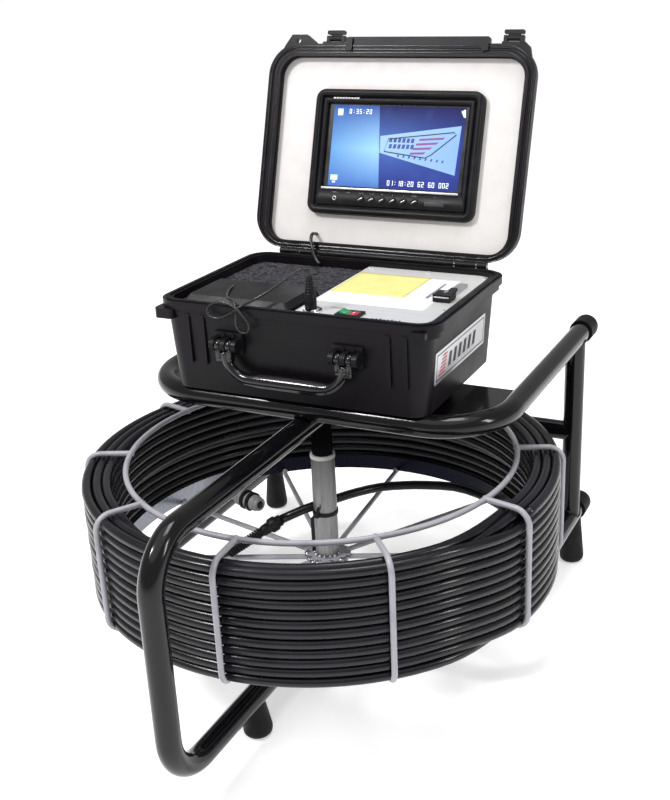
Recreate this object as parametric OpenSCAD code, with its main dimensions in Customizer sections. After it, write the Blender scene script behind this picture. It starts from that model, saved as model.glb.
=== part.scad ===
// Pipe-inspection camera reel: a wire cage of push rod turning on a C-shaped tube stand,
// with an open control case on the tray above it.  Millimetres, +Z up, feet on Z = 0,
// the reel's axle on the Z axis, the stand's single leg at -Y.

/* [Stand] */
// Outside diameter of the stand's tube
tube_d = 29; // [25:35]
// Wall of the stand's tube
tube_wall = 2.5; // [1.5:0.5:4]
// Centre-line of the front leg, ahead of the axle
leg_y = -394; // [-430:-370]
// Height of the upper arm's centre-line
arm_top_z = 355; // [345:365]
// Height of the lower arm's centre-line
arm_low_z = 57; // [50:65]
// Bend radius of the front leg
leg_bend = 60; // [45:80]
// Half the width between the side tubes' centre-lines
side_x = 247; // [220:265]
// Centre-line of the cross tube at the front of the tray and of the base
cross_y = -44; // [-70:-20]
// Bend radius of the tray's and base's front corners
corner_bend = 90; // [60:120]
// Height of the tray tube's centre-line
tray_z = 378; // [370:385]
// Height of the base tube's centre-line
base_z = 85; // [80:95]
// Where the side tubes end at the back
side_end_y = 398; // [360:420]
// Left side of the base tube, further out than the right
base_left = 290; // [240:300]
// Centre-line of the two rear legs
rear_leg_y = 343; // [330:380]
// Height of the rear cross tube
rear_cross_z = 229; // [180:260]

/* [Reel] */
// Radius of the cage to the centre of its wires
cage_r = 317.1; // [280:350]
// Diameter of the cage wire
wire_d = 7.2; // [6:12]
// Height of the top wires
cage_top_z = 302.1; // [290:310]
// Height of the bottom wires
cage_low_z = 142.9; // [130:150]
// Radius of the top inner ring
inner_r = 256.3; // [240:270]
// Number of hoops
hoops = 10; // [8:12]
// Angle of the first hoop
hoop_a = 22.4; // [0:36]
// Outer diameter of the hub tube
hub_d = 32; // [28:40]
// Diameter of the push rod
rod_d = 12.6; // [11:14]
// Rows and layers of push rod on the reel
rod_rows = 12; // [8:14]
rod_layers = 3; // [2:5]
// Lowest row that the innermost layer reaches
inner_low_row = 5; // [0:10]

/* [Case] */
// Left and right edges of the case's rim
rim_left = -197; // [-205:-185]
rim_right = 190; // [185:200]
// Front and back of the rim
rim_front = -66; // [-75:-55]
rim_back = 198; // [190:205]
// Height of the rim's top and of the case's underside
rim_z = 510; // [500:515]
case_low_z = 392.5; // [390:395]
// Angle the lid stands open from closed
lid_open = 108; // [95:115]
// Front edge of the lid, from its hinge
lid_len = 295; // [285:300]
// Left and right edges of the lid
lid_left = -204.5; // [-208:-195]
lid_right = 197; // [190:202]
// Depth of the lid
lid_depth = 46; // [35:55]

/* [Hidden] */
$fn = 48;
tube_r = tube_d / 2;
bore_r = tube_r - tube_wall;
wire_r = wire_d / 2;
hub_r = hub_d / 2;
rod_r = rod_d / 2;
foot_r = 18.7;
foot_y = 362;                    // rear feet, under the base tube
cap_r = 17.6;
axle_r = 8;
run = 0.05;                      // running clearance of every pivot
plate_in = 1.6;                  // how far the tray plate is let into the tube
plate_back = 98;
hinge_y = 204;                   // lid hinge, in the case's back
hinge_z = 513;
pin_r = 2.2;
groups = [[-159, -81], [80, 158]];  // the two groups of hinge knuckles, left to right
latch_x = [-102, 161];           // pivots of the two latches, past the lid's front
latch_y = -lid_len - 7.6;
latch_z = 4.5;
panel_z = 505;                   // top face of the control panel
seam_x = -8;                     // where foam meets panel
foam_z = 502;
mon = [-125.4, 128.5, 57, 233.2];  // monitor hood: left, right, bottom, top on the lid
plate_at = 14;                   // how deep the lid's plate lies behind its rim
lead_hole = [-110, -27.5];       // where the lead comes through the plate
handle_y = -75;
handle_z = 463;
handle_x = 83;
handle_mid = -7;
coil_low_z = cage_low_z + wire_r + rod_r + 0.2;
coil_out_r = cage_r - wire_r - rod_r - 0.2;
// centre-line of the rod's free end: off the coil, behind the hub, down to its coupling
tail_route = [[275, -58.5, 202.8], [278.6, -25, 202.8], [275.6, 12, 203.2], [264.5, 48, 204.5],
              [242.5, 81, 206], [210, 109, 208], [173, 127, 210], [135, 135, 210.5], [96, 126.5, 210.5],
              [67, 114, 211], [39, 96, 211.5], [17, 68, 213], [0.5, 40, 214], [-13.5, 18.6, 213.5],
              [-35.5, 2.4, 207], [-62, -14, 195]];
tail_end = [-62, -14, 195];
spring_start = [-84, -32, 180];
spring_end = [-120, -62, 155.5];
leader_route = [[-120, -62, 155.5], [-137, -78, 152.5], [-170, -104, 150.5], [-208, -98, 150.5],
                [-233, -58, 150.5], [-242, 0, 150.5], [-238, 50, 150.5], [-224, 88, 154], [-205, 95, 158.5]];
head_back = [-205, 95, 158.5];
head_front = [-150, 78, 158.5];
// charger lead: off the plug's top, over in an arch, two loops hanging over the rim, into the box
plug_at = [12, -32];
plug_top = 549;
lead_r = 1.6;
charger_route = [[12, -32, 547], [11, -33, 556], [3, -36, 558], [-12, -41, 548], [-34, -49, 532],
                 [-54, -58, 520], [-66, -68, 514], [-79, -72, 505], [-97, -73, 497], [-110, -73, 500],
                 [-112, -72, 509], [-99, -71, 517], [-80, -71, 516], [-64, -72.5, 506], [-54, -73, 493],
                 [-56, -73, 483], [-66, -73, 482], [-72, -73, 492], [-71, -72, 506], [-76, -67, 516],
                 [-86, -60, 519], [-95, -50, 516.8], [-104, -38, 515.8], [-112, -22, 515.8],
                 [-118, -6, 515.8], [-122, 8, 514]];
lid_lead_route = [[-110, 227.2, 534.5], [-110, 219, 536.9], [-109.6, 211, 538], [-108, 203.5, 534.5],
                  [-105.5, 199, 527.5], [-102, 194.5, 520.5], [-98, 188.5, 516.5], [-91.5, 181.8, 511.5],
                  [-86, 178.2, 507], [-82, 176.5, 504.8]];

c_frame();
tray_tube();
tray_plate();
tray_saddle();
base_tube();
rear_legs();
rear_cross_tube();
caps_tray();
caps_base();
foot_front();
feet_rear();
axle();
axle_sleeves();
hoop_cage();
top_ring();
bottom_band();
hub_tube();
hub_bushes();
rod_coil();
rod_tail();
rod_tie();
rod_guide();
rod_coupling();
lead_spring();
leader_cable();
camera_head();
camera_skid();
case_base();
case_seal();
case_runners();
foam_block();
charger_box();
control_panel();
labels();
socket_ring();
charger_plug();
charger_lead();
switch_housing();
rocker();
memory_slot();
memory_stick();
handle_brackets();
handle();
hinge_leaves();
hinge_pins();
lid_knuckles();
lid_shell();
lid_panel();
monitor_hood();
monitor_screen();
button_1();
button_2();
button_3();
button_4();
button_5();
button_6();
latch_ears();
latch_left();
latch_right();
lid_lead();

// ---------- shared shapes ----------

// straight tube from a to b; r2 > 0 bores it
module bar(a, b, r, r2 = 0) {
    d = b - a;
    len = norm(d);
    translate(a) rotate([0, acos(d.z / len), atan2(d.y, d.x)]) difference() {
        cylinder(r = r, h = len);
        if (r2 > 0) translate([0, 0, -1]) cylinder(r = r2, h = len + 2);
    }
}

// quarter bend of tube in the XY plane about the origin, from +X round to +Y
module bend(radius, r, r2 = 0) {
    rotate_extrude(angle = 90) translate([radius, 0]) difference() {
        circle(r);
        if (r2 > 0) circle(r2);
    }
}

// box from one corner to the opposite one
module block(a, b) {
    translate(a) cube(b - a);
}

// closed tube of n sides swept along points on one smooth curve
function spline(p, per) = [
    for (i = [0 : len(p) - 2]) for (j = [0 : per - 1])
        let (t = j / per, a = p[max(i - 1, 0)], b = p[i], c = p[i + 1], d = p[min(i + 2, len(p) - 1)])
        0.5 * (2 * b + (c - a) * t + (2 * a - 5 * b + 4 * c - d) * t ^ 2 + (3 * b - a - 3 * c + d) * t ^ 3),
    p[len(p) - 1]];
function unit(v) = v / norm(v);
// side vectors carried along the curve, so the tube's rings never twist
function carry(t, i, u) =
    i == len(t) ? [] : let (v = unit(u - t[i] * (u * t[i]))) concat([v], carry(t, i + 1, v));
module sweep(p, r, per = 4, n = 10, up = [0.1, 0.2, 1]) {
    q = spline(p, per);
    m = len(q);
    t = [for (i = [0 : m - 1]) unit(q[min(i + 1, m - 1)] - q[max(i - 1, 0)])];
    u = carry(t, 0, up);
    pts = [for (i = [0 : m - 1]) for (k = [0 : n - 1])
        q[i] + r * (cos(360 * k / n) * u[i] + sin(360 * k / n) * cross(t[i], u[i]))];
    sides = [for (i = [0 : m - 2]) for (k = [0 : n - 1])
        [i * n + k, i * n + (k + 1) % n, (i + 1) * n + (k + 1) % n, (i + 1) * n + k]];
    ends = [[for (k = [n - 1 : -1 : 0]) k], [for (k = [0 : n - 1]) (m - 1) * n + k]];
    polyhedron([for (v = pts) v], [for (f = concat(sides, ends)) [for (k = [len(f) - 1 : -1 : 0]) f[k]]]);
}

// flat rounded rectangle with its corners on circles
module rounded(x0, x1, y0, y1, r) {
    translate([x0 + r, y0]) square([x1 - x0 - 2 * r, y1 - y0]);
    translate([x0, y0 + r]) square([x1 - x0, y1 - y0 - 2 * r]);
    for (x = [x0 + r, x1 - r]) for (y = [y0 + r, y1 - r]) translate([x, y]) circle(r);
}
module slab(x0, x1, y0, y1, r, z0, z1) {
    translate([0, 0, z0]) linear_extrude(z1 - z0) rounded(x0, x1, y0, y1, r);
}
// the same with a different rectangle at the top: drafted walls
module drafted(low, low_r, high, high_r, z0, z1) {
    hull() {
        slab(low[0], low[1], low[2], low[3], low_r, z0, z0 + 0.5);
        slab(high[0], high[1], high[2], high[3], high_r, z1 - 0.5, z1);
    }
}
// puts a lid drawn closed, hinge line at its origin and front at -Y, into its open place
module on_lid() {
    translate([0, hinge_y, hinge_z]) rotate([-lid_open, 0, 0]) children();
}

// ---------- stand ----------

// the C: upper arm, front leg, lower arm
module c_frame() color([0.02, 0.02, 0.022]) difference() {
    union() {
        c_path(tube_r);
        for (z = [arm_top_z, arm_low_z]) bar([0, 30, z], [0, 33, z], tube_r);
    }
    c_path(bore_r);
}
module c_path(r) {
    corner_y = leg_y + leg_bend;
    for (z = [arm_top_z, arm_low_z]) bar([0, corner_y, z], [0, 30, z], r);
    bar([0, leg_y, arm_low_z + leg_bend], [0, leg_y, arm_top_z - leg_bend], r);
    translate([0, corner_y, arm_top_z - leg_bend]) rotate([0, 0, -90]) rotate([90, 0, 0]) bend(leg_bend, r);
    translate([0, corner_y, arm_low_z + leg_bend]) rotate([0, 0, -90]) rotate([90, 0, 0])
        rotate([0, 0, -90]) bend(leg_bend, r);
}
module u_tube(z, left) {
    cx = side_x - corner_bend;
    cl = left - corner_bend;
    cy = cross_y + corner_bend;
    bar([-cl, cross_y, z], [cx, cross_y, z], tube_r, bore_r);
    for (x = [-left, side_x]) bar([x, cy, z], [x, side_end_y, z], tube_r, bore_r);
    translate([cx, cy, z]) rotate([0, 0, -90]) bend(corner_bend, tube_r, bore_r);
    translate([-cl, cy, z]) rotate([0, 0, 180]) bend(corner_bend, tube_r, bore_r);
}
module tray_tube() color([0.02, 0.02, 0.022]) u_tube(tray_z, side_x);
module base_tube() color([0.02, 0.02, 0.022]) u_tube(base_z, base_left);

module tray_plate() color([0.02, 0.02, 0.022])
    intersection() {
        slab(-side_x + tube_r - plate_in, side_x - tube_r + plate_in, cross_y + tube_r - plate_in,
             plate_back + 120, corner_bend - tube_r + plate_in, tray_z + 1, tray_z + 4);
        block([-side_x, cross_y, tray_z], [side_x, plate_back, tray_z + 5]);
    }
module tray_saddle() color([0.02, 0.02, 0.022])
    block([-18, -8, arm_top_z + tube_r - 2], [18, 28, tray_z + 1.2]);

// where a rear leg's centre-line is at height z
function leg_x(s, z) = s > 0 ? side_x : -base_left + (base_left - side_x) * (z - base_z) / (tray_z - base_z);
module rear_leg(s) {
    difference() {
        bar([leg_x(s, base_z), rear_leg_y, base_z], [leg_x(s, tray_z), rear_leg_y, tray_z], tube_r, bore_r);
        for (z = [base_z, tray_z])
            bar([leg_x(s, z), rear_leg_y - 40, z], [leg_x(s, z), rear_leg_y + 40, z], tube_r - 0.6);
    }
}
module rear_legs() color([0.02, 0.02, 0.022]) for (s = [-1, 1]) rear_leg(s);
module rear_cross_tube() color([0.02, 0.02, 0.022]) difference() {
    bar([leg_x(-1, rear_cross_z), rear_leg_y, rear_cross_z], [side_x, rear_leg_y, rear_cross_z],
        tube_r, bore_r);
    for (s = [-1, 1]) bar([leg_x(s, rear_cross_z - 40), rear_leg_y, rear_cross_z - 40],
                          [leg_x(s, rear_cross_z + 40), rear_leg_y, rear_cross_z + 40], tube_r - 0.6);
}

// disc on Z = 0 of one height, its upper edge rounded by that height
module rounded_edge(r, h) {
    rotate_extrude() {
        square([r - h, h]);
        translate([r - h, 0]) intersection() {
            circle(h);
            square(h);
        }
    }
}
// rubber cup over a side tube's end
module end_cap(x, z) {
    translate([x, 0, z]) rotate([-90, 0, 0]) difference() {
        union() {
            translate([0, 0, 371]) cylinder(r = cap_r, h = 31.5);
            translate([0, 0, 402.5]) rounded_edge(cap_r, 6);
        }
        translate([0, 0, 370]) cylinder(r = tube_r - 0.05, h = side_end_y - 370);
    }
}
module caps_tray() color([0.03, 0.03, 0.03]) for (s = [-1, 1]) end_cap(s * side_x, tray_z);
module caps_base() color([0.03, 0.03, 0.03]) for (x = [-base_left, side_x]) end_cap(x, base_z);

// tapered rubber foot, hollowed to the tube it is screwed under
module foot(x, y, z, top_r) {
    difference() {
        union() {
            translate([x, y, 8]) mirror([0, 0, 1]) rounded_edge(foot_r, 8);
            translate([x, y, 8]) cylinder(r = foot_r, h = 4);
            translate([x, y, 12]) cylinder(r1 = foot_r, r2 = top_r, h = z - 20);
        }
        bar([x, y - 30, z], [x, y + 30, z], tube_r - 0.05);
        if (x != 0) bar([x, 370.9, z], [x, 420, z], cap_r + 0.1);
    }
}
module foot_front() color([0.03, 0.03, 0.03]) foot(0, -212, arm_low_z, 11.5);
module feet_rear() color([0.03, 0.03, 0.03]) for (x = [-base_left, side_x]) foot(x, foot_y, base_z, 12.5);

module axle() color([0.6, 0.6, 0.62]) bar([0, 0, arm_low_z + 6], [0, 0, arm_top_z - 6], axle_r);
module sleeve(z0, z1, r, saddle_z) {
    difference() {
        bar([0, 0, z0], [0, 0, z1], r, axle_r - 0.02);
        bar([0, -40, saddle_z], [0, 40, saddle_z], tube_r - 0.3);
    }
}
module axle_sleeves() color([0.02, 0.02, 0.022]) {
    sleeve(299, arm_top_z - 4, 14, arm_top_z);
    sleeve(arm_low_z + 4, 131, 14, arm_low_z);
}

// ---------- reel ----------

module hoop() {
    b = 20;
    x0 = cage_r - b;
    bar([inner_r, 0, cage_top_z], [x0, 0, cage_top_z], wire_r);
    translate([x0, 0, cage_top_z - b]) rotate([90, 0, 0]) bend(b, wire_r);
    bar([cage_r, 0, cage_low_z + b], [cage_r, 0, cage_top_z - b], wire_r);
    translate([x0, 0, cage_low_z + b]) rotate([90, 0, 0]) rotate([0, 0, -90]) bend(b, wire_r);
    bar([20, 0, cage_low_z], [x0, 0, cage_low_z], wire_r);
}
module hoop_cage() color([0.72, 0.73, 0.75]) {
    for (i = [0 : hoops - 1]) rotate([0, 0, hoop_a + 360 / hoops * i]) hoop();
    difference() {
        translate([0, 0, 136.5]) cylinder(r = 28, h = 13);
        translate([0, 0, 136]) cylinder(r = 12.4, h = 14);
    }
}
module top_ring() color([0.72, 0.73, 0.75])
    translate([0, 0, cage_top_z]) rotate_extrude($fn = 120) translate([inner_r, 0]) circle(wire_r);
module bottom_band() color([0.72, 0.73, 0.75]) translate([0, 0, cage_low_z + wire_r - 0.6])
    rotate_extrude($fn = 120) translate([coil_out_r - rod_d - rod_r - 3.3, 0]) square([3, 23]);
module hub_tube() color([0.5, 0.51, 0.53]) difference() {
    translate([0, 0, 148]) cylinder(r = hub_r, h = 146);
    translate([0, 0, 147]) cylinder(r = 12, h = 148);
}
module bush(z0, z1, lip0, lip1) {
    difference() {
        union() {
            translate([0, 0, z0]) cylinder(r = 12.05, h = z1 - z0);
            translate([0, 0, lip0]) cylinder(r = hub_r + 0.8, h = lip1 - lip0);
        }
        translate([0, 0, z0 - 20]) cylinder(r = axle_r + run, h = z1 - z0 + 40);
    }
}
module hub_bushes() color([0.75, 0.74, 0.7]) {
    bush(268, 294, 293.8, 298.5);
    bush(136, 172, 131.6, 136.7);
}

// the wound rod: every turn of every layer, one ring a turn
module rod_coil() color([0.02, 0.02, 0.024]) translate([0, 0, coil_low_z]) {
    in_k = rod_layers - 1;
    rotate_extrude($fn = 96) {
        for (k = [0 : in_k]) for (j = [(k == in_k ? inner_low_row : 0) : rod_rows - (k == in_k ? 2 : 1)])
            translate([coil_out_r - k * rod_d, j * rod_d]) circle(rod_r + 0.1, $fn = 20);
        translate([coil_out_r - (in_k - 1) * rod_d, 0]) square([(in_k - 1) * rod_d, (rod_rows - 1) * rod_d]);
        translate([coil_out_r - in_k * rod_d, inner_low_row * rod_d])
            square([in_k * rod_d, (rod_rows - 2 - inner_low_row) * rod_d]);
    }
    // the last turn of the inner layer stops short of the front
    rotate([0, 0, -48]) rotate_extrude(angle = 276, $fn = 96)
        translate([coil_out_r - in_k * rod_d, (rod_rows - 1) * rod_d]) circle(rod_r + 0.1, $fn = 20);
}
module rod_tail() color([0.02, 0.02, 0.024]) sweep(tail_route, rod_r);
module rod_tie() color([0.03, 0.03, 0.03]) translate([0, 0, 211]) linear_extrude(5) difference() {
    hull() { circle(hub_r + 1.6); translate([-13.5, 18.6]) circle(rod_r + 1.6); }
    hull() { circle(hub_r - 0.05); translate([-13.5, 18.6]) circle(rod_r - 0.05); }
}
module rod_guide() color([0.03, 0.03, 0.03]) difference() {
    block([-21, -5, 149.3], [-13, 3, 200]);
    translate([0, 0, 140]) cylinder(r = hub_r - 0.1, h = 80);
}
module rod_coupling() color([0.03, 0.03, 0.03]) {
    d = spring_start - tail_end;
    bar(tail_end, spring_start, 8.2);
    bar(tail_end + d * 0.25, tail_end + d * 0.6, 10.5);
}
module lead_spring() color([0.08, 0.08, 0.08]) {
    d = spring_end - spring_start;
    len = norm(d);
    turns = 11;
    translate(spring_start) rotate([0, acos(d.z / len), atan2(d.y, d.x)]) rotate_extrude() {
        square([6.2, len]);
        for (i = [0 : turns - 1]) translate([6.2, (i + 0.5) * len / turns]) circle(2.3, $fn = 16);
    }
}
module leader_cable() color([0.03, 0.03, 0.03]) sweep(leader_route, 3.5);
module camera_head() color([0.55, 0.56, 0.58]) {
    d = unit(head_front - head_back);
    bar(head_back, head_back + d * 10.2, 8);
    bar(head_back + d * 10, head_front - d * 6, 11.8);
    bar(head_back + d * 14, head_back + d * 20, 12.4);
    bar(head_front - d * 6.2, head_front, 10);
}
// two hoops of the skid that carries the head
module camera_skid() color([0.03, 0.03, 0.03]) {
    d = unit(head_front - head_back);
    for (k = [26, 38]) difference() {
        bar(head_back + d * k, head_back + d * (k + 5), 14.5);
        bar(head_back + d * (k - 5), head_back + d * (k + 10), 11.75);
        block([-260, 40, 100], [-100, 140, 146.7]);
    }
}

// ---------- case ----------

module case_hollow(gap) {
    drafted([-177 + gap, 168 - gap, -54.5 + gap, 177 - gap], 20,
            [-184 + gap, 175 - gap, -57 + gap, 185 - gap], 24, 396.5 + gap, rim_z + 1);
}
module case_base() color([0.02, 0.02, 0.022]) difference() {
    union() {
        drafted([-182, 172, -58.5, 181], 22, [-189, 179, -62, 190], 24, case_low_z, 497);
        slab(rim_left + 4, rim_right - 4, rim_front + 3, rim_back - 3, 27, 492, 501);
        slab(rim_left, rim_right, rim_front, rim_back, 30, 500, rim_z);
        slab(rim_left + 1.5, -168, rim_front - 4, -40, 6, 487.5, 500.5);
        for (x = [-150, -128, 128, 150]) block([x - 3, -64, 430], [x + 3, -55, 495]);
        block([160, -69.5, 496], [178, -62, 504]);
    }
    case_hollow(0);
}
module case_seal() color([0.03, 0.03, 0.03]) difference() {
    slab(rim_left + 4, rim_right - 4, rim_front + 4, rim_back - 4, 27, rim_z - 0.2, rim_z + 1.8);
    slab(rim_left + 9, rim_right - 9, rim_front + 9, rim_back - 9, 23, rim_z - 1, rim_z + 3);
}
module case_runners() color([0.03, 0.03, 0.03])
    for (x = [-150, 110]) block([x, -22, tray_z + 4], [x + 40, 90, case_low_z + 0.1]);
module foam_block() color([0.08, 0.08, 0.09]) difference() {
    intersection() {
        case_hollow(0.3);
        block([-210, -100, 396], [seam_x - 1, 250, foam_z]);
    }
    block([-170, -50, 490], [-10, 46, 520]);
}
module charger_box() color([0.03, 0.03, 0.032]) hull() {
    slab(-165, -14, -46, 42, 3, 490.2, 506);
    slab(-159, -20, -40, 37, 3, 513, 514);
}
module control_panel() color([0.74, 0.75, 0.76]) {
    difference() {
        union() {
            slab(seam_x - 30, 174, -51, 183.5, 22, panel_z - 3, panel_z);
            for (p = [[-1, 176], [83, 177], [166, 172], [168, 18], [40, -44], [150, -44]])
                translate([p[0], p[1], panel_z - 0.2]) cylinder(r = 3.4, h = 1.6);
        }
        block([seam_x - 40, -60, 490], [seam_x, 200, 520]);
        translate([plug_at[0], plug_at[1], 495]) cylinder(r = 9, h = 20);
        block([51, -41, 495], [79, -23, 520]);
    }
}
// two sheets on the panel and the plate on the case's right wall
module labels() color([0.9, 0.9, 0.88]) {
    block([seam_x + 1, 12, panel_z - 0.05], [143, 152, panel_z + 0.5]);
    block([seam_x + 3, 55, panel_z + 0.4], [99, 151, panel_z + 1]);
    translate([172, 0, case_low_z]) rotate([0, atan(7 / 104), 0]) block([-0.4, -34, 34], [0.9, 141, 76]);
}
module socket_ring() color([0.8, 0.8, 0.82]) translate([plug_at[0], plug_at[1], 0]) difference() {
    union() {
        translate([0, 0, panel_z - 0.1]) cylinder(r = 14, h = 2);
        translate([0, 0, panel_z + 1]) cylinder(r = 10.5, h = 3, $fn = 48);
        translate([0, 0, panel_z - 14]) cylinder(r = 9.02, h = 15);
    }
    translate([0, 0, panel_z - 12]) cylinder(r = 6, h = 30);
}
module charger_plug() color([0.03, 0.03, 0.03]) translate([plug_at[0], plug_at[1], 0]) {
    translate([0, 0, panel_z - 10]) cylinder(r = 6.02, h = 14.5);
    translate([0, 0, panel_z + 4]) cylinder(r = 7.6, h = 16);
    translate([0, 0, panel_z + 20]) cylinder(r1 = 7.2, r2 = 4, h = plug_top - panel_z - 20);
}
module charger_lead() color([0.03, 0.03, 0.03]) sweep(charger_route, lead_r, 3, 8, [1, 0.3, 0.2]);
module switch_housing() color([0.03, 0.03, 0.03]) difference() {
    union() {
        block([49, -43, panel_z - 0.1], [81, -21, panel_z + 3]);
        block([51.05, -40.95, panel_z - 15], [78.95, -23.05, panel_z + 1]);
    }
    block([52.5, -39.5, panel_z - 12], [77.5, -24.5, panel_z + 5]);
    bar([65, -40.5, panel_z], [65, -23.5, panel_z], 1.5 + run);
}
module rocker() color([0.5, 0.06, 0.06]) {
    translate([65, -32, panel_z]) rotate([0, 7, 0]) rotate([90, 0, 0]) translate([0, 0, -7.2])
        linear_extrude(14.4) polygon([[-11.6, 5], [0, 2.6], [11.6, 5], [10.5, -3], [0, -8], [-10.5, -3]]);
    bar([65, -40.2, panel_z], [65, -23.8, panel_z], 1.5);
}
module memory_slot() color([0.75, 0.76, 0.78]) {
    block([146, 74, panel_z - 0.05], [158, 128, panel_z + 4]);
    block([126, 60, panel_z + 0.4], [129, 128, panel_z + 1.4]);
}
module memory_stick() color([0.03, 0.03, 0.03]) {
    block([140, 50, panel_z + 1.1], [163, 72, panel_z + 10]);
    block([148, 60, panel_z + 4.1], [156, 96, panel_z + 7]);
}
// each end of the handle: five knuckles on a pin, three of the case's and two of the handle's
module handle_brackets() color([0.03, 0.03, 0.03]) for (s = [-1, 1])
    translate([handle_mid + s * handle_x, 0, 0]) {
        difference() {
            union() {
                block([-20, -66, handle_z - 13], [20, -59.5, handle_z + 14]);
                for (x = [-15.6, 0, 15.6]) {
                    block([x - 3.4, handle_y, handle_z - 8], [x + 3.4, -60, handle_z + 8]);
                    bar([x - 3.4, handle_y, handle_z], [x + 3.4, handle_y, handle_z], 8);
                }
                for (x = [-6, 8]) bar([x, -68, handle_z + 10], [x, -65, handle_z + 10], 3);
            }
            bar([-25, handle_y, handle_z], [25, handle_y, handle_z], 3);
        }
        bar([-19, handle_y, handle_z], [19, handle_y, handle_z], 3.02);
    }
module handle() color([0.03, 0.03, 0.03]) difference() {
    b = 24;
    h = 7;
    low = 420;
    union() {
        for (s = [-1, 1]) translate([handle_mid + s * handle_x, handle_y, 0]) {
            for (x = [-7.8, 7.8]) {
                bar([x - 3.4, 0, handle_z], [x + 3.4, 0, handle_z], 7.6);
                block([x - 3.4, -5.5, handle_z - 17], [x + 3.4, 5.5, handle_z]);
            }
            block([-11.2, -5.5, handle_z - 22], [11.2, 5.5, handle_z - 13]);
        }
        translate([handle_mid, handle_y, 0]) {
            bar([-handle_x + b, 0, low], [handle_x - b, 0, low], h + 1.5);
            translate([handle_x - b, 0, low + b]) rotate([90, 0, 0]) rotate([0, 0, -90]) bend(b, h);
            translate([-handle_x + b, 0, low + b]) rotate([90, 0, 0]) rotate([0, 0, 180]) bend(b, h);
        }
    }
    bar([handle_mid - 110, handle_y, handle_z], [handle_mid + 110, handle_y, handle_z], 3.02 + run);
}

// ---------- lid ----------

module knuckle(x0, x1, r) {
    bar([x0, hinge_y, hinge_z], [x1, hinge_y, hinge_z], 4.6, r);
}
module hinge_leaves() color([0.03, 0.03, 0.03]) {
    for (g = groups) for (k = [0, 2, 4]) hinge_leaf(g[0] + k * 16);
    bar([groups[0][1] + 1, hinge_y, hinge_z], [groups[1][0] - 1, hinge_y, hinge_z], 4.8);
    block([groups[0][1] + 1, rim_back - 1, 502.5], [groups[1][0] - 1, hinge_y + 3.5, 509.5]);
}
module hinge_leaf(x) {
    difference() {
        union() {
            knuckle(x, x + 14, 1);
            block([x, rim_back - 1, 502.5], [x + 14, hinge_y + 4.4, 509.5]);
        }
        bar([x - 1, hinge_y, hinge_z], [x + 15, hinge_y, hinge_z], pin_r - 0.02);
    }
}
module hinge_pins() color([0.6, 0.6, 0.62]) for (g = groups)
    bar([g[0], hinge_y, hinge_z], [g[1], hinge_y, hinge_z], pin_r);
module lid_knuckles() color([0.03, 0.03, 0.03]) for (g = groups) for (k = [1, 3]) {
    x = g[0] + k * 16 - 1.5;
    on_lid() difference() {
        union() {
            bar([x, 0, 0], [x + 15, 0, 0], 4.6);
            block([x, -13, 0.6], [x + 15, 0, 4.6]);
        }
        bar([x - 1, 0, 0], [x + 16, 0, 0], pin_r + run);
    }
}
module lid_shell() color([0.02, 0.02, 0.022]) on_lid() difference() {
    front = -lid_len;
    union() {
        drafted([lid_left + 4, lid_right - 4, front + 4, -9], 40,
                [lid_left + 17, lid_right - 19, front + 16, -18], 34, 8, lid_depth);
        slab(lid_left, lid_right, front, -6, 44, 0.6, 12);
        slab(-84, 128, front - 9.5, front + 20, 3, 1, 8);
        slab(-122, -80, front - 3, front + 20, 2, 1, 8);
        for (x = [-84, 118]) slab(x, x + 10, front - 8, front + 10, 2, -2, 9);
        translate([0, 0, 1.5]) linear_extrude(8) {
            polygon([[-198, front + 34], [-182, front + 2], [-172, front - 13], [-148, front - 13],
                     [-134, front - 3], [-128, front + 20]]);
            polygon([[145, front + 20], [145, front - 3], [177, front - 3],
                     [184, front + 3], [192, front + 34]]);
        }
    }
    slab(-186, 182, front + 17, -14.5, 28, -1, plate_at + 3.1);
    drafted([-182, 178, front + 21, -18], 26, [-180, 171, front + 24, -24], 24, plate_at + 3, lid_depth - 4);
    difference() {
        slab(lid_left + 6, lid_right - 6, front + 6, -8.8, 38, -1, 2.6);
        slab(lid_left + 9.5, lid_right - 9.5, front + 9.5, -11.4, 35, -2, 3);
    }
    translate([-161, front - 4.5, -5]) cylinder(r = 3.6, h = 30);
}
module lid_panel() color([0.82, 0.81, 0.79]) on_lid() difference() {
    slab(-186.2, 182.2, -lid_len + 16.8, -14.3, 28.2, plate_at, plate_at + 3);
    translate([lead_hole[0], lead_hole[1], plate_at - 1]) cylinder(r = 2.38, h = 5);
}
module monitor_hood() color([0.03, 0.03, 0.032]) on_lid() difference() {
    hull() for (e = [[0, 5, plate_at + 0.1], [2, 2, 5], [5, 0, 2]])
        slab(mon[0] + e[0], mon[1] - e[0], -mon[3] + e[0], -mon[2] + e[0], 11 - e[0] / 2, e[1], e[2]);
    slab(mon[0] + 11, mon[1] - 11, -mon[3] + 11, -mon[2] + 11, 3, -1, 4);
    difference() {
        slab(mon[0] + 11, mon[1] - 11, -mon[3] + 11, -mon[2] + 11, 3, -1, 7);
        slab(mon[0] + 13, mon[1] - 13, -mon[3] + 13, -mon[2] + 13, 2.5, -2, 8);
    }
    slab(-106, 108, -214.3, -95.8, 2, -2, 10.5);
    for (i = [0 : 5]) button_place(i) slab(-6.3, 6.3, -3.7, 3.7, 3.6, -1, 9);
}
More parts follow.
